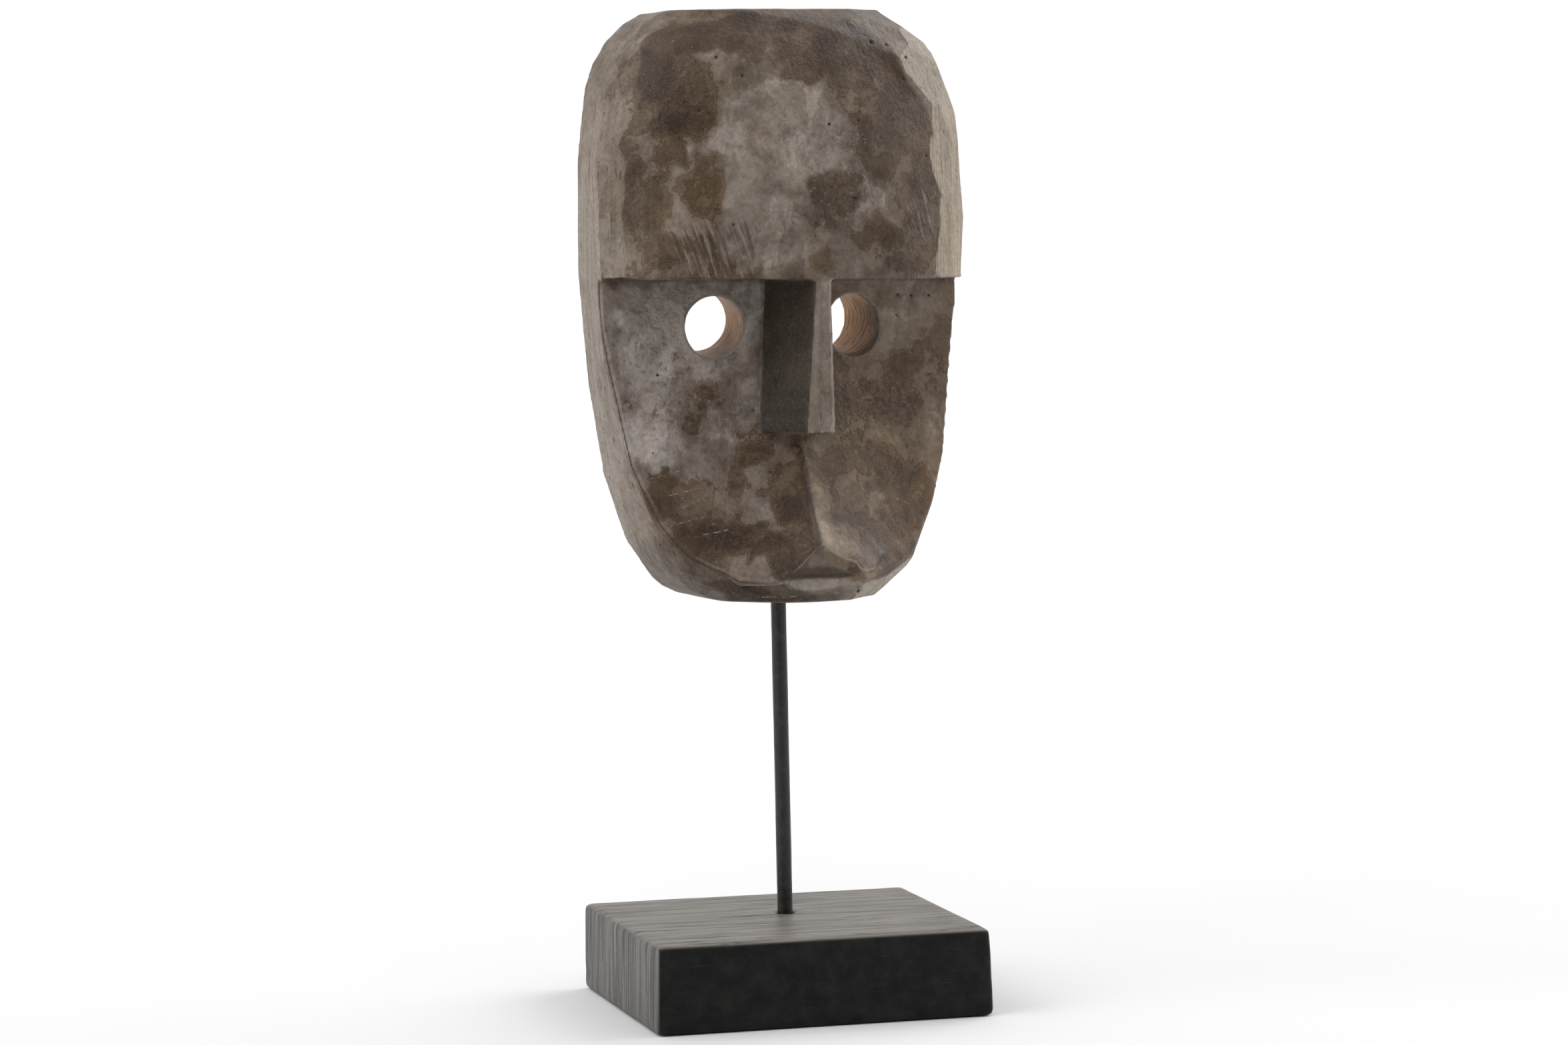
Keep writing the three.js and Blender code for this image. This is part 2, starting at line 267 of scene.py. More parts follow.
# On the left cheek the wide pale patches at z 330 and 357 are painted light, lifting it where it lies in
# shade under the brow
CHEEK_STAINS = (
    (-16, 279, 11, 7.5, 0.75), (-71, 270, 5, 4, 0.7), (-65, 256, 9, 11, 0.7), (-50, 256, 13, 9, 0.35),
    (-47, 234, 14, 11, 0.65), (-18, 235, 22, 8, 0.9), (2, 254, 9, 6, 0.75), (-24, 266, 5, 7, 0.5),
    (-19, 220, 14, 7, -0.25), (0, 226, 6, 8, 0.9), (-45, 306, 14, 6, 0.35), (-57, 312, 6, 8, 0.35),
    (-14, 252, 9, 7, -0.35), (-36, 293, 10, 7, -0.5), (-71, 288, 14, 14, -0.55), (-19, 303, 9, 12, -0.35),
    (-62, 330, 28, 26, -0.75), (-60, 357, 30, 7, -0.6), (-18, 345, 8, 18, -0.4), (67, 319, 9, 10, 0.55),
    (65, 298, 11, 8, 0.65), (37, 299, 8, 9, 0.45), (59, 270, 10, 14, 0.7), (77, 257, 8, 14, 0.6),
    (26, 273, 14, 10, 0.5), (28, 255, 4, 10, 0.55), (55, 242, 15, 8, 0.65), (71, 249, 10, 6, 0.6),
    (59, 224, 10, 6, 0.7), (21, 250, 6, 15, -0.4), (38, 257, 8, 7, -0.4), (82, 295, 7, 12, -0.2),
    (56, 339, 6, 8, -0.35), (46, 245, 34, 46, 0.30), (40, 245.5, 7, 5, 0.8), (44, 234, 5, 5, 0.75),
    (54, 259, 9, 5, 0.8), (63, 252, 10, 6, 0.7), (35, 233, 4, 10, -0.7), (50, 249, 4, 9, -0.6),
    (41, 215, 10, 6, -1.0), (44, 262, 36, 56, 0.36),
)
# Outside the field; the two along the top, at z 489 and 498, darken its upward faces as painted shade
OUTER_STAINS = (
    (-46, 227, 8, 5, 0.8), (-27, 212, 15, 5, 0.7), (-3, 204, 22, 5, 0.6), (-50, 489, 22, 8, 0.2),
    (0, 498, 60, 6, 0.55), (-66, 236, 9, 8, 0.25), (42, 212, 12, 6, -1.0),
)

# Patches with a coarse, granular skin: u, z, half width, half height, strength
GRANULAR = (
    (-62, 325, 32, 40, 1.0), (-45, 290, 30, 18, 0.7), (-25, 250, 30, 16, 0.35), (28, 412, 20, 28, 1.0),
    (38, 300, 16, 18, 0.6), (62, 300, 14, 18, 0.5), (-5, 440, 34, 30, 0.5),
)

# Light scratches: u and z of both ends
SCRATCHES = (
    (-73, 267, -51, 272), (-69, 257.5, -45, 262.5), (-57, 252.5, -44.5, 256.5), (-60, 244.5, -40, 249),
    (-43.5, 239.6, -29.7, 242), (61, 255, 71.5, 251), (-49, 284, -45, 277), (-60, 219, -54, 220.5),
    (-12, 208.5, 34, 210),
)

# The crease along the lower left side: z, and u at each z
SIDE_CREASE = (
    (200, 216.8, 227.2, 242.7, 252.7, 266.1, 278.5, 309.4, 322.5),
    (-58, -71.7, -78.3, -84.9, -88.5, -90.7, -94.3, -101.6, -103.8),
)

# The lower edge of the two lobes over the mouth: x, and z at each x
LOBE_EDGE = (
    (-46, -30, -21.4, -10.6, -2, 0.9, 5.5, 12.4, 19.4, 22.4, 26.3, 31.5, 36.3, 41.6, 50),
    (215, 215.3, 216, 224.6, 232.4, 234.8, 231.3, 227.2, 224.4, 220.8, 219.9, 220.4, 223.4, 227.5, 235),
)

# Worm holes in the front: x, z, radius
WORM_HOLES = (
    (-62, 447, 1.0), (-51, 473, 0.8), (-40, 464, 0.7), (-99, 469, 0.8), (-104, 391, 0.8), (4, 441, 0.9),
    (20, 443, 0.8), (34, 482, 0.9), (49, 464, 0.9), (54, 475, 0.8), (43, 481, 0.7), (17, 405, 0.8),
    (-47, 392, 0.9), (61, 426, 0.8), (24, 210, 1.1), (-22, 300, 0.8), (72, 328, 0.8), (-70, 318, 0.9),
    (64, 356.5, 0.8), (72, 356, 0.8), (83, 356, 0.8), (63, 346, 0.7),
)


def mask_frame(co):
    """World metres to the mask's own millimetres."""
    x, y = co[:, 0] / MM - MASK_AT[0], co[:, 1] / MM - MASK_AT[1]
    c, s = math.cos(MASK_TURN), math.sin(MASK_TURN)
    return x * c + y * s, x * s - y * c, co[:, 2] / MM


def mask_world(x, p, z):
    c, s = math.cos(MASK_TURN), math.sin(MASK_TURN)
    return np.stack([MASK_AT[0] + x * c + p * s, MASK_AT[1] + x * s - p * c, z], 1) * MM


def turned(normals):
    c, s = math.cos(MASK_TURN), math.sin(MASK_TURN)
    return normals[:, 0] * c + normals[:, 1] * s, normals[:, 0] * s - normals[:, 1] * c, normals[:, 2]


def bow(t, power):
    return np.maximum(0, 1 - np.maximum(0, t) ** power) ** (1 / power)


def loaf_skin(x, p, z):
    """The smooth loaf that the block was hewn to, at the height of each point.

    Gives the point's size, which is 1 on the loaf's skin and less inside it, the depth at which the
    loaf's straight sides end, and how far its middle lies to the right."""
    low = np.clip((Z_DEEPEST - z) / (Z_DEEPEST - Z_FOOT), 0, 1)
    wide = HALF_W * bow((z - Z_WIDEST) / (Z_CROWN - Z_WIDEST), 3.5)
    wide = wide * (1 - 0.23 * low ** 1.45) * bow(low, 4.7)
    deep = (FRONT - BACK - 4 * low) * bow((z - Z_DEEPEST) / (Z_CROWN - Z_DEEPEST), 3.6) * bow(low, 14)
    front = BACK + deep
    side = BACK + (0.3 + 0.13 * low) * (front - BACK)
    sway = 0.012 * (400 - z)
    across = (x - sway) / np.maximum(wide, 1)
    ahead = np.maximum(p - side, 0) / np.maximum(front - side, 1)
    power = 2.45 - 0.6 * low
    return (np.abs(across) ** power + ahead ** power) ** (1 / power), side, sway


def cheek(x, z):
    s = np.clip((Z_BROW - z) / (Z_BROW - Z_LOBE), 0, 1.4)
    return 8 + 51 * s ** 2.3 - (0.10 + 0.30 * (s / 0.855) ** 3) * np.abs(x)


def eye_place(x, p, z):
    """For each point: distance from the nearer eye hole's axis, and how deep inside it lies."""
    best, deep = np.full(len(x), 1e3), np.zeros(len(x))
    for (ex, ez), side in zip(EYES, (-1, 1)):
        start = np.array([ex, cheek(ex, ez), ez])
        way = np.array([-side * math.tan(EYE_TOE), -1.0, math.tan(EYE_RISE)])
        way /= np.linalg.norm(way)
        off = np.stack([x, p, z], 1) - start
        along = off @ way
        far = np.linalg.norm(off - along[:, None] * way, axis=1)
        near = far < best
        best[near], deep[near] = far[near], along[near]
    return best, deep


class Skin:
    """Points of the mask in its own frame, with the way each one faces and the forms it lies on."""

    def __init__(self, co, normals):
        self.x, self.p, self.z = mask_frame(co)
        self.nx, self.nf, self.nz = turned(normals)
        self.at = np.stack([self.x, self.p, self.z], 1)
        self.u = self.x + SLANT * self.p
        self.rise = self.p - cheek(self.x, self.z)
        self.above_lobe = self.z - np.interp(self.x, *LOBE_EDGE)
        self.under_brow = step(Z_BROW - 0.2, Z_BROW - 1.2, self.z)
        self.muzzle = self.p > MUZZLE_FROM

    def gap(self):
        """Distance to the edge of the worked field, with the shallow bites of a blade along it."""
        along = np.stack([self.u / 15, self.z / 12, np.zeros(len(self.u))], 1)
        return field_gap(self.u, self.z) + 1.6 * noise(along, 55) + 0.5 * noise(along * 3.1, 56)

    def in_eye(self, radius, start):
        """1 inside an eye hole, from the depths of start inwards, and how deep each point lies."""
        far, deep = eye_place(self.x, self.p, self.z)
        return step(radius, radius - 1, far) * step(*start, deep) * step(60, 50, deep), deep

    def on_nose(self, low, high):
        """1 on the nose, where the skin rises from low to high over the cheek."""
        beside = step(24, 21, np.abs(self.x))
        return self.under_brow * step(Z_NOSE - 1.5, Z_NOSE, self.z) * step(low, high, self.rise) * beside


def segment_gap(u, z, au, az, bu, bz):
    t = np.clip(((u - au) * (bu - au) + (z - az) * (bz - az)) / ((bu - au) ** 2 + (bz - az) ** 2), 0, 1)
    return np.hypot(u - au - t * (bu - au), z - az - t * (bz - az))


def field_gap(u, z):
    """Distance to the edge of the worked field, above 0 inside it."""
    inside, best = np.zeros(len(u), bool), np.full(len(u), 1e3)
    for (au, az), (bu, bz) in zip(FIELD, FIELD[1:] + FIELD[:1]):
        best = np.minimum(best, segment_gap(u, z, au, az, bu, bz))
        if az != bz:
            crosses = (az > z) != (bz > z)
            inside ^= crosses & (u < au + (z - az) / (bz - az) * (bu - au))
    return np.where(inside, best, -best)


def stain_field(u, z, stains):
    """Each stain is a flat patch with a soft border; where some meet, the strongest counts."""
    over, under = np.zeros(len(u)), np.zeros(len(u))
    for su, sz, w, h, strength in stains:
        share = strength * step(1.35, 0.75, np.hypot((u - su) / w, (z - sz) / h))
        over, under = np.maximum(over, share), np.minimum(under, share)
    return over + under * (1 - np.minimum(over, 1))


# Carving the mask

def smoothed_brow(s, links):
    """The broad front of the brow is worked smooth; its outer strips keep their facets."""
    size, side, sway = loaf_skin(s.x, s.p, s.z)
    over = step(Z_BROW + 0.8, Z_BROW + 4, s.z) * step(499, 489, s.z) * step(-0.1, 0.35, s.nf)
    calm = over * 0.9 * step(0.0, 7.0, s.gap())
    k = 1 + calm * 0.03 * np.tanh((1 / np.maximum(size, 0.2) - 1) / 0.03)
    ahead = np.where(s.p > side, side + (s.p - side) * k, s.p)
    co = mask_world(sway + (s.x - sway) * k, ahead, s.z)
    co = softened(co, links, 2, 0.45)
    return softened(co, links, 30, 0.5 * calm)


def strip_paleness_and_facet_light(s):
    """How pale each hewn strip is, told by the way it faces: partly the paler hewn wood and partly painted
    light and shade, each facet getting its own tone.
    """
    drift = np.stack([s.x / 9, s.p / 5, s.z / 20], 1)
    left = 0.10 * step(0.60, 0.66, -s.nx) + 0.25 * step(0.82, 0.86, -s.nx) - 0.05 * step(0.92, 0.95, -s.nx)
    left += 0.60 * step(0.988, 0.996, -s.nx) * step(432, 402, s.z + 6 * noise(drift, 32))
    upper = left * step(0.75, 0.45, s.nz) + 0.85 * step(0.28, 0.34, s.nx) + 0.1 * step(0.58, 0.64, s.nx)
    lower = 0.8 * step(0.30, 0.60, -s.nx) + 0.95 * step(0.12, 0.30, s.nx)
    blend = 1 + 16 * step(0.6, 0.9, -s.nx)
    high = step(Z_BROW - blend, Z_BROW + blend, s.z + 5 * (blend > 2) * noise(drift, 31))
    return np.clip(high * upper + (1 - high) * lower, 0, 1)


def tool_marks(s, in_eye, on_cheek, on_nose, on_brow):
    """How far unevenness, pores, grain and gouges lift or lower the skin, in millimetres."""
    on_side = step(0.45, 0.75, np.abs(s.nx)) * (1 - on_nose) * (1 - in_eye) * (1 - on_cheek)
    on_back = step(-0.3, -0.7, s.nf) * (1 - in_eye)
    d = 0.30 * rough(s.at / 30, 1) + 0.12 * rough(s.at / 9, 4, 2)
    patchy = 0.35 + 0.9 * step(-0.3, 0.4, noise(s.at / 22, 12))
    d += (0.20 - 0.13 * step(-4, 4, s.x)) * on_cheek * rough(s.at / 2.5, 8, 2) * patchy
    pitted = step(-40, -22, s.x) * step(48, 34, s.x) * step(452, 430, s.z)
    d += on_brow * (0.05 + 0.13 * pitted * patchy) * rough(s.at / 2.7, 14, 2)
    d += 0.20 * on_side * rough(s.at / np.array([2.6, 2.6, 60]), 20, 2)
    # The strips fall away a little from the edge of the worked field
    d -= on_brow * 0.35 * step(0.0, -5.0, s.gap())
    gouge = noise(np.stack([s.x / 13, s.p / 40, s.z / 34], 1), 40)
    return d - 0.9 * on_back * np.abs(gouge)


def worm_holes(s):
    """1 in each worm hole of the front."""
    hole = np.zeros(len(s.x))
    for x, z, radius in WORM_HOLES:
        far = np.hypot(s.x - x, s.z - z) / radius
        hole = np.maximum(hole, step(1.25, 0.75, far) * step(0.0, 0.3, s.nf))
    return hole


def lobe_step(obj, s, on_cheek):
    """The right lobe stands a little proud of the left one, with a painted shadow beside the step."""
    ridge = s.x + 2.0 * step(262, 240, s.z)
    shadow = on_cheek * step(-2.4, -1.4, ridge) * step(0.1, -0.6, ridge) * step(284, 270, s.z)
    shadow *= step(232, 238, s.z)
    keep(obj, line=0.6 * shadow)
    proud = on_cheek * step(-0.6, 0.6, ridge) * step(60, 20, s.x) * step(286, 266, s.z)
    return LOBE_STEP * proud


def lobe_lips(obj, s):
    """Both lobes end in a sharp edge over the mouth."""
    above = s.above_lobe
    by_edge = s.muzzle * step(252, 242, s.z) * step(46, 40, np.abs(s.x)) * (np.abs(s.nx) < 0.75)
    by_edge = by_edge * step(-0.2, 0.3, s.nf)
    keep(obj, lobe=np.where((by_edge > 0.5) & (s.x < 33), np.abs(above - 0.3), FAR_OFF))
    lip = LOBE_LIP * step(-0.4, 0.5, above) * step(16, 4, above)
    groove = GROOVE * step(-0.2, -1.0, above) * step(-7, -2, above)
    return by_edge * (lip - groove)


def knife_lines(obj, s, on_cheek, links):
    """A knife line where each cheek meets the outer strips."""
    fade = on_cheek
    for _ in range(3):
        fade = averaged(fade, links)
    size, _, _ = loaf_skin(s.x, s.p, s.z)
    rimmed = step(0.90, 0.95, size) * step(22, 40, np.abs(s.x)) * step(Z_BROW, Z_BROW - 3, s.z)
    keep(obj, rim=fade, rimmed=rimmed)
    return KNIFE_LINE * rimmed * step(0.50, 0.62, fade) * step(0.97, 0.84, fade) * on_cheek


def saw_nick(s):
    """1 in the saw nick where the brow meets the left side."""
    return np.exp(-((np.abs(s.z - Z_BROW) / 1.3) ** 2) - (((s.x + 92) / 3.0) ** 2))


def edge_wear_and_highlight(s, on_nose, bend):
    """Pale edges, partly wear and partly painted highlight; on the front of the nose only its right edge
    is paled.
    """
    nose = on_nose > 0.3
    unworn = nose & ((s.nx < 0.1) | (s.nx > 0.9) | (s.z < Z_NOSE + 2)) | (np.abs(s.z - Z_BROW) < 3)
    nose_edge = nose & (s.nx > 0.1) & (s.nx < 0.9) & (bend > 0.02)
    return np.where(nose_edge, 0.3, np.where(unworn, np.minimum(bend, 0), bend))


def carve(obj, co, links):
    """Moves the points of the fine mesh, and keeps the lines that only this mesh can place."""
    put_points(obj.data, co)
    normals = normals_of(obj.data)
    s = Skin(co, normals)
    in_eye, _ = s.in_eye(radius=17.4, start=(-0.5, 1.0))
    on_cheek = s.under_brow * step(2.2, 1.0, np.abs(s.rise)) * (1 - in_eye)
    on_nose = s.on_nose(low=2.0, high=4.0)
    on_brow = step(Z_BROW + 0.5, Z_BROW + 2, s.z) * step(0.0, 0.4, s.nf)
    d = tool_marks(s, in_eye, on_cheek, on_nose, on_brow)
    d += lobe_step(obj, s, on_cheek)
    d += lobe_lips(obj, s)
    d -= knife_lines(obj, s, on_cheek, links)
    d -= NICK * saw_nick(s)
    d -= WORM_HOLE * worm_holes(s)
    keep(obj, bend=edge_wear_and_highlight(s, on_nose, convexity(co, normals, links, MASK_VOXEL)))
    put_points(obj.data, softened(co + normals * (d * MM)[:, None], links, 1, 0.25))


# Where each of the mask's looks lies

def parts_of(s):
    """How far each point belongs to each part of the mask, from 0 to 1, and two distances."""
    in_eye, deep = s.in_eye(radius=17.6, start=(0.2, 1.2))
    face = s.under_brow * step(4.6, 3.0, np.abs(s.rise)) * (1 - in_eye)
    on_nose = s.on_nose(low=2.5, high=4.5)
    on_brow = step(Z_BROW + 0.3, Z_BROW + 1.5, s.z) * step(0.15, 0.5, s.nf)
    gap = np.where(s.z > Z_BROW - 1, s.gap(), -FAR_OFF)
    outer = (1 - on_nose) * (1 - in_eye) * (1 - face)
    heel = outer * step(11, 17, s.x) * step(217, 213, s.z)
    # chin marks the downward faces under the mouth, which get painted shade
    chin = step(240, 222, s.z) * (1 - face) * (1 - in_eye) * step(0.1, -0.5, s.nz) * step(0.55, 0.25, s.nx)
    return SimpleNamespace(
        in_eye=in_eye, deep=deep, face=face, on_nose=on_nose, on_brow=on_brow, gap=gap, outer=outer,
        field=on_brow * step(-0.5, 0.5, gap), back=step(-0.3, -0.8, s.nf) * (1 - in_eye),
        heel=heel, chin=chin * (1 - 0.8 * heel),
    )


def mouth_parts(s):
    """A dark upper face under the lip line and a dark parting, painted shade in the mouth's notch; a paler
    lower lip, painted light where it faces up; and the philtrum, with a little painted shade.
    """
    open_share = np.clip(1 - ((s.x - MOUTH_MIDDLE) / MOUTH_HALF) ** 2, 0, 1)
    line, inside = s.z - Z_MOUTH, open_share > 0.02
    reach = line / np.maximum(open_share, 0.05)
    upper = s.muzzle * step(0.3, 1.2, line) * step(6.2, 5.0, reach)
    lower = s.muzzle * step(-0.2, -1.4, line) * step(-8.6, -7.0, reach)
    parting = s.muzzle * step(-0.1, 0.3, line) * step(1.6, 0.9, line) * inside
    philtrum = s.muzzle * step(0.3, -0.6, s.above_lobe) * step(Z_MOUTH + 3.5, Z_MOUTH + 5, s.z)
    philtrum = philtrum * step(24, 20, np.abs(s.x))
    dark = 0.06 * upper * inside + 0.35 * parting + 0.12 * philtrum
    return SimpleNamespace(open_share=open_share, lower=lower, philtrum=philtrum, dark=dark)


def uneven_place(s):
    """The u and z by which stains are laid, shifted to and fro so that their borders are uneven."""
    u = s.u + 7 * rough(s.at / 15, 50) + 3.2 * rough(s.at / 5, 54, 2)
    z = s.z + 7 * rough(s.at / 15, 60) + 3.2 * rough(s.at / 5, 64, 2)
    return u, z


def stain_of(s, part, mouth, u, z, outer_stain_and_shade):
    """How much stain each point took."""
    # More stain near the field's edge; the rise towards the top is partly stain and partly painted shade
    # on the upward faces
    stain_with_top_shade = 0.08 + 0.13 * step(26, 6, part.gap) + 0.22 * step(462, 482, s.z)
    stain = part.field * (stain_with_top_shade + (1 - 0.3 * stain_with_top_shade) * stain_field(u, z, BROW_STAINS))
    stain += part.face * stain_field(u, z, CHEEK_STAINS)
    stain += outer_stain_and_shade
    # Along the ridge the left lobe is darker, partly stain and partly painted shade, and the right one
    # paler, a painted highlight along its edge
    ridge_stain_and_shade = 0.25 * step(0.5, -0.5, s.x) * step(-24, -12, s.x)
    ridge_highlight = 0.6 * step(-0.5, 0.5, s.x) * step(12, 5, s.x) * step(272, 262, s.z)
    stain += part.face * step(290, 280, s.z) * (ridge_stain_and_shade - ridge_highlight)
    # The lower lip takes no stain and is lightened, as painted light where it faces up; the philtrum takes
    # less stain
    return stain * (1 - mouth.lower) * (1 - 0.8 * mouth.philtrum) - 0.8 * mouth.lower * mouth.open_share


def drawn_of(s, part, strip, outer_stain_and_shade):
    """How clean the blade left the wood: on the strips, whose paleness is partly painted light, the nose's
    front and the chin's right foot.
    """
    drawn = part.outer * (1 - part.field) * strip * (1 - 0.8 * np.clip(1.3 * outer_stain_and_shade, 0, 1))
    # Towards the top the strips are less pale, partly as painted shade on their upward faces
    drawn *= 1 - 0.2 * step(445, 460, s.z)
    # Inside the crease on the lower left side the strip is less pale, as painted shade on that facet
    facet_shade = 0.35 * step(-0.4, 0.4, s.u - np.interp(s.z, *SIDE_CREASE)) * step(330, 315, s.z) * (s.x < 0)
    drawn *= 1 - facet_shade
    drawn += 0.42 * part.on_nose * step(0.6, 0.9, s.nf)
    return np.maximum(drawn, 0.5 * part.heel)


def hatching_of(s, part, u, z):
    """Where the blade left short strokes: low on the brow's left, and in a patch at its right edge."""
    hatched = part.field * step(397, 388, s.z) * step(-62, -56, u) * step(-12, -18, u)
    hatched += part.on_brow * step(1.2, 0.7, np.hypot((u - 77) / 10, (z - 397) / 13))
    return hatched


def crisp_marks(s):
    """Distances to the nearest scratch, in millimetres, and to the nearest worm hole, in its radii."""
    scratch, hole = np.full(len(s.x), FAR_OFF), np.full(len(s.x), FAR_OFF)
    for ends in SCRATCHES:
        scratch = np.minimum(scratch, segment_gap(s.u, s.z, *ends))
    for x, z, radius in WORM_HOLES:
        hole = np.minimum(hole, np.hypot(s.x - x, s.z - z) / radius)
    return np.where(s.nf > 0, scratch, FAR_OFF), np.where(s.nf > 0.1, hole, FAR_OFF)


def lay_looks(obj):
    s = Skin(points_of(obj.data), normals_of(obj.data))
    part, mouth = parts_of(s), mouth_parts(s)
    u, z = uneven_place(s)
    outer_stain_and_shade = part.outer * (1 - part.field) * stain_field(u, z, OUTER_STAINS)
    drawn = drawn_of(s, part, kept(obj, "strip"), outer_stain_and_shade)
    # Less pale under the chin, as painted shade, and pale on the lower lip, as painted light where it
    # faces up
    clean = np.clip(drawn * (1 - 0.5 * part.chin) + mouth.lower * mouth.open_share, 0, 1)
    flank = s.on_nose(low=0.4, high=1.6) * step(0.35, 0.75, -s.nx)
    other_flank = part.on_nose * step(0.35, 0.75, s.nx)
    scratch, hole = crisp_marks(s)
    keep(
        obj, stain=stain_of(s, part, mouth, u, z, outer_stain_and_shade), hatched=hatching_of(s, part, u, z),
        pale=clean * (1 - part.back), grained=np.clip(1.2 * drawn + part.back, 0, 1),
        # dark holds the nose's dark flanks and the mouth's painted shade; shade is painted shade under the
        # chin
        dark=np.clip(0.95 * flank + 0.4 * other_flank + mouth.dark, 0, 1), shade=part.chin,
        bare=part.in_eye * step(3.0, 5.5, part.deep + 1.6 * noise(s.at / 6, 70)), ring=part.deep,
        granular=(part.field + part.face) * stain_field(u, z, GRANULAR),
        # painted warm light on the outer faces that face right
        warm=step(0.2, 0.6, s.nx) * part.outer,
        tawny=part.face * step(0, 3, s.x) * (0.5 + 0.5 * step(300, 280, s.z)),
        cool=part.face * step(-12, -22, s.x) * step(236, 262, s.z),
        scratch=scratch, hole=hole,
    )


def make_mask():
    obj = fine_copy("mask", "mask_carved", MASK_VOXEL)
    links = neighbours(obj.data)
    hewn = Skin(points_of(obj.data), normals_of(obj.data))
    keep(obj, strip=strip_paleness_and_facet_light(hewn))
    carve(obj, smoothed_brow(hewn, links), links)
    thinned(obj, MASK_TRIANGLES)
    lay_looks(obj)
    shade_smooth(obj.data)
    return obj


# The block

def make_base():
    obj = fine_copy("base", "base_block", BASE_VOXEL)
    links = neighbours(obj.data)
    co = softened(points_of(obj.data), links, 12, 0.5)
    put_points(obj.data, co)
    normals = normals_of(obj.data)
    bend = convexity(co, normals, links, BASE_VOXEL)
    x, y, z = co.T / MM
    at = co / MM
    nx, ny, nz = normals.T
    edge = step(0.04, 0.16, bend)
    d = 0.16 * rough(at / 34, 101) - 0.7 * edge * step(0.0, 0.7, rough(at / 9, 105, 2))
    edge_x, edge_z = WORN_EDGE
    d -= 1.3 * np.exp(-((x - edge_x) ** 2 + (z - edge_z) ** 2) / 5.0 ** 2)
    end = step(0.6, 0.9, np.abs(nx))
    d -= 0.22 * end * step(0.0, 0.8, rough(np.stack([x / 40, y / 1.9, z / 60], 1), 110, 2))
    flat = step(0.6, 0.9, nz) + 0.4 * step(0.6, 0.9, np.abs(ny))
    d -= 0.16 * flat * step(0.1, 0.8, rough(np.stack([x / 55, y / 2.2, z / 2.2], 1), 120, 2))
    for dent_x, dent_y, dent_z, size, depth in DENTS:
        off = (x - dent_x) ** 2 + (y - dent_y) ** 2 + (z - dent_z) ** 2
        d -= depth * np.exp(-off / size ** 2)
    d *= step(0.4, 2.5, z)
    put_points(obj.data, co + normals * (d * MM)[:, None])
    keep(obj, bend=bend)
    thinned(obj, BASE_TRIANGLES)
    nx, _, nz = normals_of(obj.data).T
    keep(obj, ends=step(0.5, 0.85, np.abs(nx)), top=step(0.5, 0.85, nz))
    shade_smooth(obj.data)
    return obj


# The rod

def make_rod():
    """A slightly uneven drawn bar along the solid's own axis, with a chamfer at each end."""
    low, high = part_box("rod")
    foot = np.array(ROD_FOOT)
    way = np.array([-math.sin(ROD_LEAN), 0, math.cos(ROD_LEAN)])
    angle = np.arange(ROD_SIDES) / ROD_SIDES * 2 * math.pi
    around = np.outer(np.cos(angle), [math.cos(ROD_LEAN), 0, math.sin(ROD_LEAN)])
    around = around + np.outer(np.sin(angle), [0, 1, 0])
    bottom, top = low.z / MM + 0.1, high.z / MM - 0.1
    verts = []
    for i in range(ROD_RINGS):
        z = bottom + (top - bottom) * (i / (ROD_RINGS - 1))
        centre = foot + way * (z - foot[2]) / way[2]
        ring = centre + around
        wave = rough(ring / np.array([7, 7, 26]), 200, 2) * 0.09 + rough(ring / 2.4, 210, 2) * 0.03
        chamfer = 0.5 if i in (0, ROD_RINGS - 1) else 0
        verts.append(centre + around * (ROD_RADIUS - 0.14 + wave - chamfer)[:, None])
    faces = []
    for i in range(ROD_RINGS - 1):
        for j in range(ROD_SIDES):
            a, b = i * ROD_SIDES + j, i * ROD_SIDES + (j + 1) % ROD_SIDES
            faces.append((a, b, b + ROD_SIDES, a + ROD_SIDES))
    last = (ROD_RINGS - 1) * ROD_SIDES
    faces += [tuple(range(ROD_SIDES))[::-1], tuple(range(last, last + ROD_SIDES))]
    mesh = bpy.data.meshes.new("rod_bar")
    mesh.from_pydata([tuple(v) for v in np.concatenate(verts) * MM], [], faces)
    mesh.update()
    shade_smooth(mesh)
    return linked("rod_bar", mesh)


# Materials

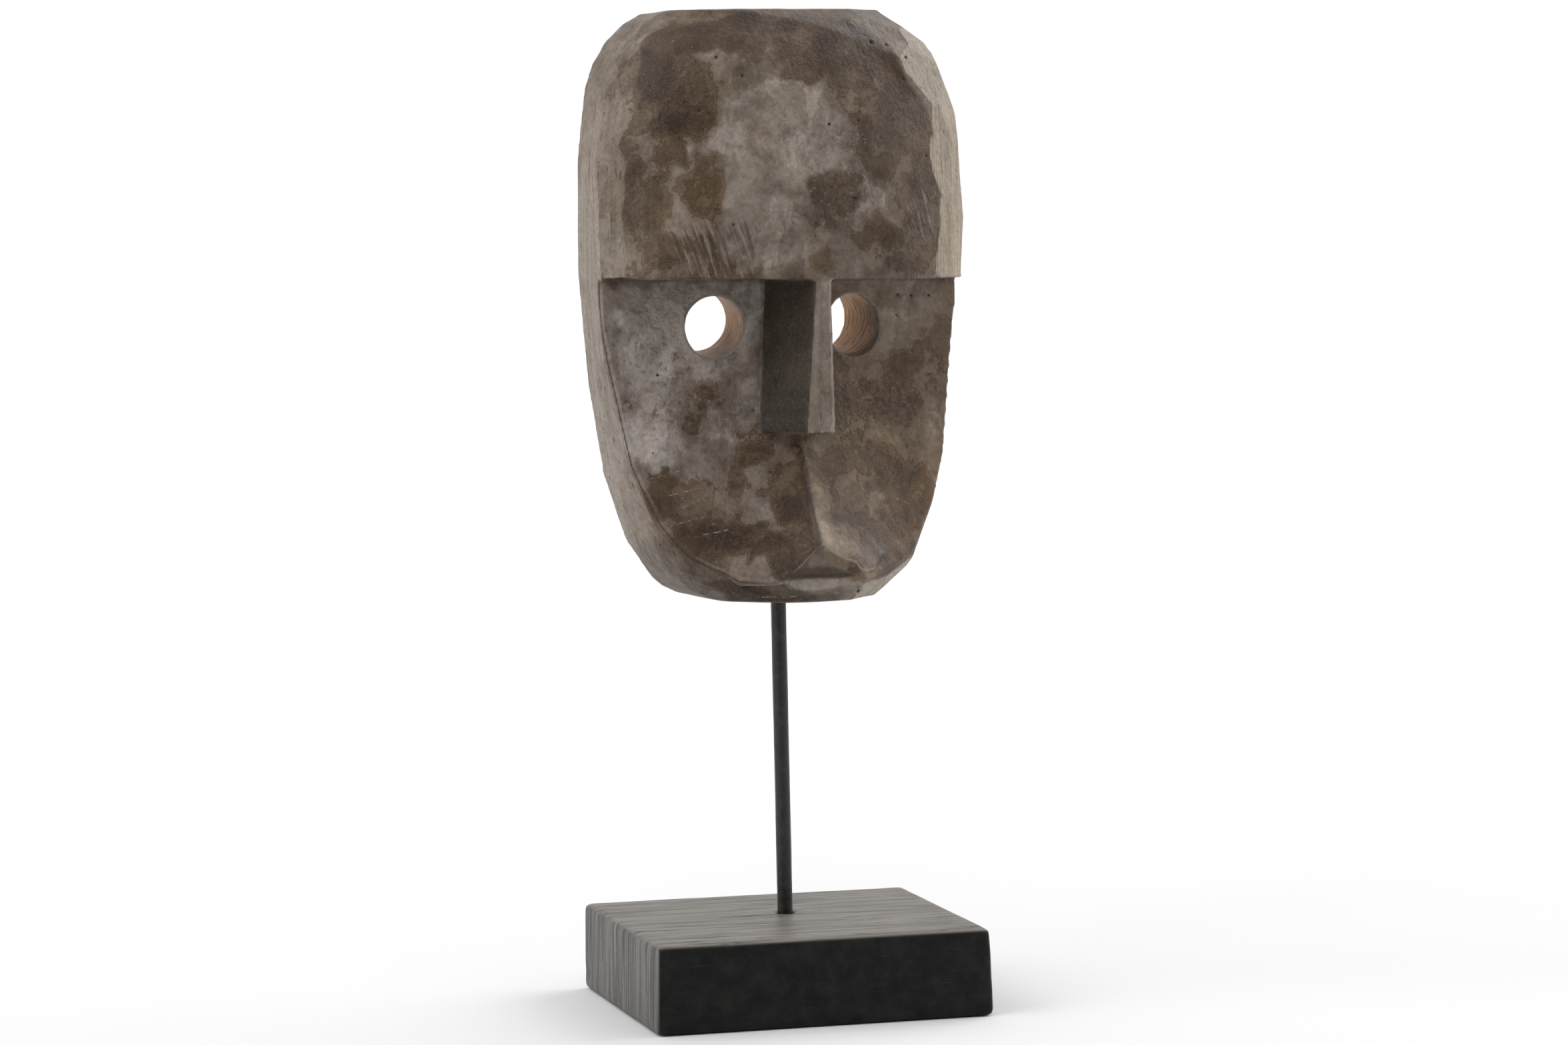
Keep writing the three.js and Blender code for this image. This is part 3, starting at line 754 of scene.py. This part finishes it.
class Paint:
    """A material made of nodes, with short names for the nodes it uses."""

    def __init__(self, name):
        self.material = bpy.data.materials.new(name)
        self.material.use_nodes = True
        self.tree = self.material.node_tree
        self.tree.nodes.clear()
        self.place = self.node("ShaderNodeTexCoord").outputs["Object"]

    def node(self, kind, **settings):
        made = self.tree.nodes.new(kind)
        for name, value in settings.items():
            setattr(made, name, value)
        return made

    def put(self, socket, value):
        if isinstance(value, bpy.types.NodeSocket):
            self.tree.links.new(value, socket)
        elif isinstance(value, (tuple, list)) and len(value) == 3 and socket.type == "RGBA":
            socket.default_value = (*value, 1)
        else:
            socket.default_value = value

    def math(self, what, a, b):
        n = self.node("ShaderNodeMath", operation=what)
        self.put(n.inputs[0], a)
        self.put(n.inputs[1], b)
        return n.outputs[0]

    def times(self, first, *others):
        for each in others:
            first = self.math("MULTIPLY", first, each)
        return first

    def swing(self, noise, reach):
        """A noise moved to swing about 0."""
        return self.times(self.math("SUBTRACT", noise, 0.5), reach)

    def scaled(self, by, place=None):
        n = self.node("ShaderNodeVectorMath", operation="MULTIPLY")
        self.put(n.inputs[0], place or self.place)
        n.inputs[1].default_value = by
        return n.outputs[0]

    def noise_node(self, scale, detail, roughness, place, distortion=0.0):
        n = self.node("ShaderNodeTexNoise")
        self.put(n.inputs["Vector"], place)
        inputs = {"Scale": scale, "Detail": detail, "Roughness": roughness, "Distortion": distortion}
        for name, value in inputs.items():
            n.inputs[name].default_value = value
        return n

    def noise(self, scale, detail, roughness=0.55, place=None, distortion=0.0):
        return self.noise_node(scale, detail, roughness, place or self.place, distortion).outputs[0]

    def warped(self, scale, reach, place):
        """The place, shifted a little to and fro, so that patches get uneven borders."""
        shift = self.node("ShaderNodeVectorMath", operation="MULTIPLY_ADD")
        self.put(shift.inputs[0], self.noise_node(scale, 6.0, 0.62, place).outputs["Color"])
        shift.inputs[1].default_value = (reach, reach, reach)
        self.put(shift.inputs[2], place)
        return shift.outputs[0]

    def patches(self, scale, place=None):
        """An uneven patchwork: the distance to the nearest centre, and two seeded numbers a patch."""
        n = self.node("ShaderNodeTexVoronoi", feature="F1")
        self.put(n.inputs["Vector"], place or self.place)
        n.inputs["Scale"].default_value = scale
        parts = self.node("ShaderNodeSeparateColor")
        self.put(parts.inputs[0], n.outputs["Color"])
        return n.outputs["Distance"], parts.outputs[0], parts.outputs[1]

    def value(self, name):
        return self.node("ShaderNodeAttribute", attribute_name=name).outputs["Fac"]

    def step(self, v, lo, hi, out_lo=0.0, out_hi=1.0):
        n = self.node("ShaderNodeMapRange", interpolation_type="SMOOTHSTEP")
        self.put(n.inputs["Value"], v)
        limits = {"From Min": lo, "From Max": hi, "To Min": out_lo, "To Max": out_hi}
        for name, x in limits.items():
            n.inputs[name].default_value = x
        return n.outputs[0]

    def mix(self, share, a, b, how="MIX"):
        n = self.node("ShaderNodeMix", data_type="RGBA", blend_type=how)
        self.put(n.inputs[0], share)
        self.put(n.inputs[6], a)
        self.put(n.inputs[7], b)
        return n.outputs[2]

    def tinted(self, share, colour, tint):
        return self.mix(share, colour, tint, "MULTIPLY")

    def bump(self, height, depth, under=None, strength=1.0):
        n = self.node("ShaderNodeBump")
        n.inputs["Strength"].default_value = strength
        n.inputs["Distance"].default_value = depth
        self.put(n.inputs["Height"], height)
        if under is not None:
            self.put(n.inputs["Normal"], under)
        return n.outputs[0]

    def finish(self, colour, roughness, normal, **constants):
        shader = self.node("ShaderNodeBsdfPrincipled")
        self.put(shader.inputs["Base Color"], colour)
        self.put(shader.inputs["Roughness"], roughness)
        if normal is not None:
            self.put(shader.inputs["Normal"], normal)
        for name, value in constants.items():
            shader.inputs[name.replace("_", " ")].default_value = value
        out = self.node("ShaderNodeOutputMaterial")
        self.tree.links.new(shader.outputs[0], out.inputs["Surface"])
        return self.material


# Colours of the mask
TAUPE, TAUPE_LIGHT, TAUPE_DARK = (0.158, 0.127, 0.102), (0.206, 0.173, 0.147), (0.106, 0.081, 0.061)
PALE, PALE_IN_WARM_LIGHT, NEARLY_BLACK = (0.312, 0.271, 0.234), (0.420, 0.346, 0.262), (0.026, 0.020, 0.016)
TAN, TAN_DEEP, TAN_LINE = (0.53, 0.315, 0.155), (0.30, 0.162, 0.072), (0.045, 0.028, 0.018)
FLANK, FLANK_LIGHT = (0.023, 0.016, 0.010), (0.042, 0.030, 0.021)

# What its layers multiply the colour below by
WASHED, STAINED = (0.83, 0.76, 0.675), (0.68, 0.60, 0.50)
SOAKED, TIDE = (0.76, 0.705, 0.63), (0.60, 0.53, 0.45)
DULLED, BRIGHTENED, SHADED = (0.80, 0.765, 0.72), (1.20, 1.20, 1.20), (0.42, 0.36, 0.31)
TAWNY, COOL = (1.20, 1.10, 0.94), (1.13, 1.16, 1.24)
SPECKLED, PIT_SHADE = (0.60, 0.58, 0.56), (0.42, 0.38, 0.34)

# The stain's layers: where each begins, where it is full, how strong it is, and its tint
STAIN_LAYERS = (
    (0.125, 0.14, 1.0, STAINED), (0.335, 0.35, 0.95, SOAKED), (0.55, 0.57, 0.9, SOAKED),
    (0.75, 0.78, 0.9, SOAKED), (0.96, 1.00, 0.9, SOAKED),
)
STROKE_TILT = math.radians(20)

# Colours of the block: its black skin, the grey of its top as painted sheen, and its ends, grey partly as
# painted reflection
BLACK, BLACK_WORN, PORE = (0.0040, 0.0040, 0.0038), (0.0125, 0.0120, 0.0112), (0.028, 0.027, 0.025)
TOP_SHEEN_GREY, TOP_DARK = (0.158, 0.143, 0.126), (0.030, 0.028, 0.026)
END_GREY_AND_SHEEN, EDGE_GREY = (0.178, 0.170, 0.158), (0.07, 0.068, 0.065)

ROD_BLACK, ROD_WORN = (0.006, 0.006, 0.0055), (0.020, 0.019, 0.018)


def blade_strokes(m):
    slanted = m.node("ShaderNodeMapping")
    m.put(slanted.inputs["Vector"], m.place)
    slanted.inputs["Rotation"].default_value = (0.0, STROKE_TILT, 0.0)
    return m.noise(1.0, 2, 0.5, m.scaled((640, 30, 60), slanted.outputs[0]))


def mask_textures(m):
    """What several looks of the mask share; wet is how much stain the wood took."""
    t = SimpleNamespace(
        blotch=m.noise(26, 7, 0.60, distortion=0.35), mottle=m.noise(62, 9, 0.66, distortion=0.4),
        small=m.noise(110, 6, 0.62), grain=m.noise(330, 3, 0.6), fine=m.noise(420, 5, 0.7),
        grit=m.noise(1300, 3, 0.7), streaks=m.noise(1.0, 5, 0.62, m.scaled((400, 400, 15))),
        grained=m.value("grained"), granular=m.value("granular"), hatched=m.value("hatched"),
        tawny=m.value("tawny"), bend=m.value("bend"), stroke=blade_strokes(m),
    )
    t.hold = m.step(t.grained, 0.0, 1.0, 1.0, 0.22)
    t.scratch = m.times(m.step(m.value("scratch"), 0.55, 0.20), m.step(t.fine, 0.40, 0.55))
    crack = m.noise(1.0, 3, 0.6, m.scaled((700, 700, 75)))
    t.crack = m.times(m.step(crack, 0.64, 0.69, 0.0, 0.65), m.step(t.grained, 0.1, 0.4))
    distance, chosen, _ = m.patches(60)
    t.pinhole = m.times(m.step(distance, 0.040, 0.024), m.step(chosen, 0.60, 0.62))
    wet = m.math("ADD", m.times(m.value("stain"), 0.66), m.swing(t.blotch, 1.45))
    wet = m.math("ADD", wet, m.swing(t.small, 0.55))
    t.wet = m.math("ADD", wet, m.swing(m.noise(260, 5, 0.7), 0.38))
    return t


def aged_wood(m, t):
    """Rubbed wood with pale and dark clouds, and the paler strips, partly painted light, with a warmer
    tint on faces to the right as painted warm light.
    """
    cloud = m.noise(34, 6, 0.6)
    colour = m.mix(m.step(t.mottle, 0.36, 0.62), TAUPE_DARK, TAUPE)
    colour = m.mix(m.step(cloud, 0.44, 0.66, 0.0, 0.85), colour, TAUPE_LIGHT)
    rubbed = m.times(m.step(t.wet, -0.08, -0.42), m.step(t.mottle, 0.38, 0.6, 0.35, 0.9))
    colour = m.mix(rubbed, colour, PALE)
    strips = m.times(m.value("pale"), m.step(t.streaks, 0.30, 0.66, 0.45, 1.0))
    return m.mix(strips, colour, m.mix(m.value("warm"), PALE, PALE_IN_WARM_LIGHT))


def stained(m, t, colour):
    """Brown stains in see-through layers, some with a darker rim where they dried."""
    colour = m.tinted(m.times(m.step(t.wet, -0.13, 0.10), t.hold), colour, WASHED)
    crisp = m.step(m.noise(21, 3), 0.40, 0.54, 0.7, 1.0)
    for begins, full, strength, tint in STAIN_LAYERS:
        held = m.times(t.hold, strength, crisp)
        colour = m.tinted(m.times(m.step(t.wet, begins, full), held), colour, tint)
        rim = m.step(t.wet, begins + 0.01, begins + 0.03)
        rim = m.times(rim, m.step(t.wet, begins + 0.09, begins + 0.05))
        colour = m.tinted(m.times(rim, m.times(held, 0.5)), colour, TIDE)

    # Every cut of the blade took the stain a little differently
    _, darker, lighter = m.patches(62, m.warped(95, 0.016, m.scaled((1.0, 0.8, 0.62))))
    colour = m.tinted(m.times(m.step(darker, 0.58, 0.60, 0.0, 0.75), t.hold), colour, DULLED)
    colour = m.tinted(m.times(m.step(lighter, 0.62, 0.64, 0.0, 0.8), t.hold), colour, BRIGHTENED)
    soft = m.times(m.step(m.noise(48, 5, 0.62), 0.46, 0.66), m.times(t.hold, 0.45))
    colour = m.tinted(soft, colour, STAINED)

    # The right lobe is a warmer brown and the left cheek a cooler grey. The nose's flanks are dark; the
    # mouth and the underside of the chin are darkened as painted shade.
    colour = m.tinted(t.tawny, colour, TAWNY)
    colour = m.tinted(m.value("cool"), colour, COOL)
    dark = m.mix(m.step(m.noise(40, 5, 0.6), 0.35, 0.65), FLANK, FLANK_LIGHT)
    colour = m.mix(m.value("dark"), colour, dark)
    return m.tinted(m.times(m.value("shade"), 0.6), colour, SHADED)


def speckled(m, t, colour):
    """Speckle and pale specks, partly painted glints; granular patches: painted shade in pits, highlights
    on grains.
    """
    colour = m.tinted(m.step(t.fine, 0.35, 0.66, 0.0, 0.55), colour, SPECKLED)
    colour = m.mix(m.step(t.grit, 0.58, 0.76, 0.0, 0.5), colour, PALE)
    colour = m.tinted(m.times(m.step(t.grain, 0.46, 0.30, 0.0, 0.75), t.granular), colour, PIT_SHADE)
    return m.mix(m.times(m.step(t.grain, 0.58, 0.72, 0.0, 0.45), t.granular), colour, PALE)


def stroked(m, t, colour):
    """Short slanting strokes of the blade, lightened where raised and darkened where low, as painted light
    and shade.
    """
    colour = m.mix(m.times(m.step(t.stroke, 0.58, 0.66, 0.0, 0.32), t.hatched), colour, PALE)
    return m.mix(m.times(m.step(t.stroke, 0.44, 0.36, 0.0, 0.55), t.hatched), colour, NEARLY_BLACK)


def bare_wood(m):
    """Bare wood in the eye holes, with the rings it was cut through."""
    ring = m.math("ADD", m.times(m.value("ring"), 0.30), m.times(m.noise(60, 3), 2.6))
    line = m.times(m.step(m.math("PINGPONG", ring, 0.5), 0.36, 0.44), m.step(m.noise(150, 3), 0.40, 0.50))
    wood = m.mix(m.step(m.noise(45, 4), 0.35, 0.65), TAN, TAN_DEEP)
    wood = m.mix(m.times(line, 0.85), wood, TAN_LINE)
    return m.mix(m.step(m.noise(90, 5), 0.60, 0.64, 0.0, 0.6), wood, TAUPE_DARK)


def wear_highlights_and_shade(m, t, colour):
    """Edges paled by wear and painted highlight, painted highlights on the lobes, painted shade in creases
    and knife lines.
    """
    edges = m.times(m.step(t.bend, 0.03, 0.11), m.step(t.small, 0.36, 0.60, 0.1, 0.6))
    colour = m.mix(edges, colour, PALE)
    lip = m.times(m.step(m.value("lobe"), 0.75, 0.35), m.step(t.small, 0.36, 0.56, 0.15, 0.6))
    colour = m.mix(lip, colour, PALE)
    colour = m.mix(m.step(t.bend, -0.02, -0.09, 0.0, 0.75), colour, NEARLY_BLACK)
    rim = m.value("rim")
    knife = m.times(m.step(rim, 0.23, 0.30), m.step(rim, 0.55, 0.48), m.value("rimmed"), 0.9)
    return m.mix(knife, colour, NEARLY_BLACK)


def marked(m, t, colour):
    """Scratches, the painted shadow between the lobes, worm holes, cracks and pinholes."""
    colour = m.mix(m.times(t.scratch, 0.65), colour, PALE)
    colour = m.mix(m.times(m.value("line"), 0.9), colour, NEARLY_BLACK)
    colour = m.mix(m.step(m.value("hole"), 1.05, 0.75), colour, NEARLY_BLACK)
    colour = m.mix(t.crack, colour, NEARLY_BLACK)
    return m.mix(m.times(t.pinhole, 0.85), colour, NEARLY_BLACK)


def mask_relief(m, t):
    """The finest unevenness, which is too small for the mesh; the right lobe is more even."""
    normal = m.bump(t.blotch, 0.0009)
    even = m.math("SUBTRACT", 1.0, m.times(t.tawny, 0.75))
    normal = m.bump(m.times(m.noise(380, 4, 0.6), even), 0.0007, normal, 0.8)
    normal = m.bump(m.times(t.grain, t.granular), 0.0015, normal, 0.9)
    normal = m.bump(t.grit, 0.00022, normal, 0.7)
    normal = m.bump(m.times(t.grained, t.streaks), 0.0010, normal, 0.8)
    normal = m.bump(m.times(t.hatched, t.stroke), 0.0009, normal, 0.8)
    cuts = m.math("MAXIMUM", m.times(t.pinhole, 3.0), m.times(t.crack, 1.5))
    return m.bump(m.math("SUBTRACT", t.scratch, cuts), 0.0004, normal)


def mask_paint():
    m = Paint("stained_wood")
    t = mask_textures(m)
    colour = stroked(m, t, speckled(m, t, stained(m, t, aged_wood(m, t))))
    colour = m.mix(m.value("bare"), colour, bare_wood(m))
    colour = marked(m, t, wear_highlights_and_shade(m, t, colour))
    roughness = m.math("ADD", m.step(t.wet, -0.3, 0.4, 0.54, 0.40), m.step(t.fine, 0.3, 0.7, -0.06, 0.07))
    return m.finish(colour, roughness, mask_relief(m, t), Specular_IOR_Level=0.26)


def base_paint():
    m = Paint("blackened_wood")
    along = m.noise(1.0, 5, 0.62, m.scaled((17, 330, 330)))
    broken = m.noise(1.0, 4, 0.6, m.scaled((38, 420, 420)))
    upright = m.noise(1.0, 6, 0.66, m.scaled((60, 460, 13)))
    pores = m.noise(1.0, 3, 0.6, m.scaled((55, 1400, 1400)))
    cloud, spots = m.noise(22, 5), m.noise(90, 5, 0.6)
    ends, top, bend = m.value("ends"), m.value("top"), m.value("bend")
    colour = m.mix(m.step(spots, 0.35, 0.7), BLACK, BLACK_WORN)
    colour = m.mix(m.step(pores, 0.60, 0.74, 0.0, 0.4), colour, PORE)
    # The top is painted grey as its sheen, streaked along the grain
    colour = m.mix(m.times(top, m.step(along, 0.30, 0.62, 0.55, 1.0)), colour, TOP_SHEEN_GREY)
    dark = m.times(m.step(broken, 0.53, 0.61), m.step(cloud, 0.42, 0.60, 0.2, 0.85))
    colour = m.mix(m.times(top, dark), colour, TOP_DARK)
    # The ends are streaked grey, partly saw marks and partly painted reflection
    colour = m.mix(m.times(ends, m.step(upright, 0.32, 0.70, 0.22, 0.95)), colour, END_GREY_AND_SHEEN)
    colour = m.mix(m.step(bend, 0.05, 0.22, 0.0, 0.30), colour, EDGE_GREY)
    normal = m.bump(m.mix(ends, along, upright), 0.0005)
    normal = m.bump(m.times(top, broken), 0.0004, normal, 0.8)
    normal = m.bump(pores, 0.0003, normal, 0.6)
    roughness = m.math("ADD", m.step(along, 0.3, 0.7, 0.46, 0.36), m.times(ends, 0.10))
    return m.finish(colour, roughness, normal, Specular_IOR_Level=0.14)


def rod_paint():
    m = Paint("black_metal")
    colour = m.mix(m.step(m.noise(240, 4), 0.45, 0.75), ROD_BLACK, ROD_WORN)
    roughness = m.step(m.noise(120, 4), 0.3, 0.7, 0.26, 0.42)
    normal = m.bump(m.noise(520, 3), 0.00025, None, 0.6)
    return m.finish(colour, roughness, normal, Metallic=0.0, Specular_IOR_Level=0.4)


def floor_paint():
    m = Paint("pale_floor")
    colour = m.mix(m.noise(3, 3), (0.66, 0.66, 0.66), (0.68, 0.68, 0.68))
    return m.finish(colour, 0.8, None, Specular_IOR_Level=0.1)


def dark_card_paint():
    return Paint("dark_card").finish((0.03, 0.03, 0.03), 0.9, None, Specular_IOR_Level=0.0)


mask, base, rod = make_mask(), make_base(), make_rod()
painted = ((mask, "mask", mask_paint()), (base, "base", base_paint()), (rod, "rod", rod_paint()))
for piece, node, paint in painted:
    piece.data.materials.clear()
    piece.data.materials.append(paint)
    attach(piece, "root")
    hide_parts(node)


# The floor, the lights and the camera

def card(name, width, height, centre, target, paint):
    """A flat rectangle that faces a point."""
    mesh = bpy.data.meshes.new(name)
    w, h = width / 2, height / 2
    mesh.from_pydata([(-w, -h, 0), (w, -h, 0), (w, h, 0), (-w, h, 0)], [], [(0, 1, 2, 3)])
    mesh.materials.append(paint)
    obj = linked(name, mesh)
    obj.location = centre
    obj.rotation_euler = (Vector(target) - Vector(centre)).to_track_quat("Z", "Y").to_euler()
    return obj


def aimed_light(name, kind, power, way):
    light = bpy.data.lights.new(name, kind)
    light.energy = power
    obj = linked(name, light)
    obj.rotation_euler = Vector(way).to_track_quat("-Z", "Y").to_euler()
    return obj


def wide_sun(name, way, power, spread):
    """Broad, even daylight that comes from one side."""
    aimed_light(name, "SUN", power, way).data.angle = math.radians(spread)


def softbox(name, place, size, power, target):
    obj = aimed_light(name, "AREA", power, Vector(target) - Vector(place))
    obj.data.shape, obj.data.size, obj.data.size_y = "RECTANGLE", *size
    obj.location = place
    obj.visible_camera = False


card("floor", width=240, height=240, centre=(0, 0, -0.0002), target=(0, 0, 1), paint=floor_paint())
flag = card(
    "front_flag", width=4.6, height=3.4, centre=(-0.95, -3.1, 1.2), target=(0, 0, 0.5),
    paint=dark_card_paint(),
)
flag.visible_camera = False

wide_sun("left_sun", way=(0.90, 0.22, -0.62), power=1.5, spread=50)
wide_sun("right_sun", way=(-0.85, -0.25, -0.62), power=1.5, spread=50)
softbox("front_fill", place=(-0.9, -1.9, 2.3), size=(1.4, 1.0), power=11, target=(0, 0, 0.28))

world = bpy.data.worlds.new("studio")
world.use_nodes = True
world.node_tree.nodes["Background"].inputs["Color"].default_value = (1, 1, 1, 1)
world.node_tree.nodes["Background"].inputs["Strength"].default_value = 1.0
bpy.context.scene.world = world
bpy.context.scene.view_settings.view_transform = "Standard"

camera = bpy.data.cameras.new("camera")
camera.lens, camera.sensor_width, camera.sensor_fit = 91.84, 36.0, "HORIZONTAL"
camera.clip_start, camera.clip_end = 0.05, 60.0
view = linked("camera", camera)
view.location = (-0.6014, -1.9062, 0.3950)
view.rotation_euler = (math.radians(85.65), 0.0, math.radians(-17.49))
bpy.context.scene.camera = view
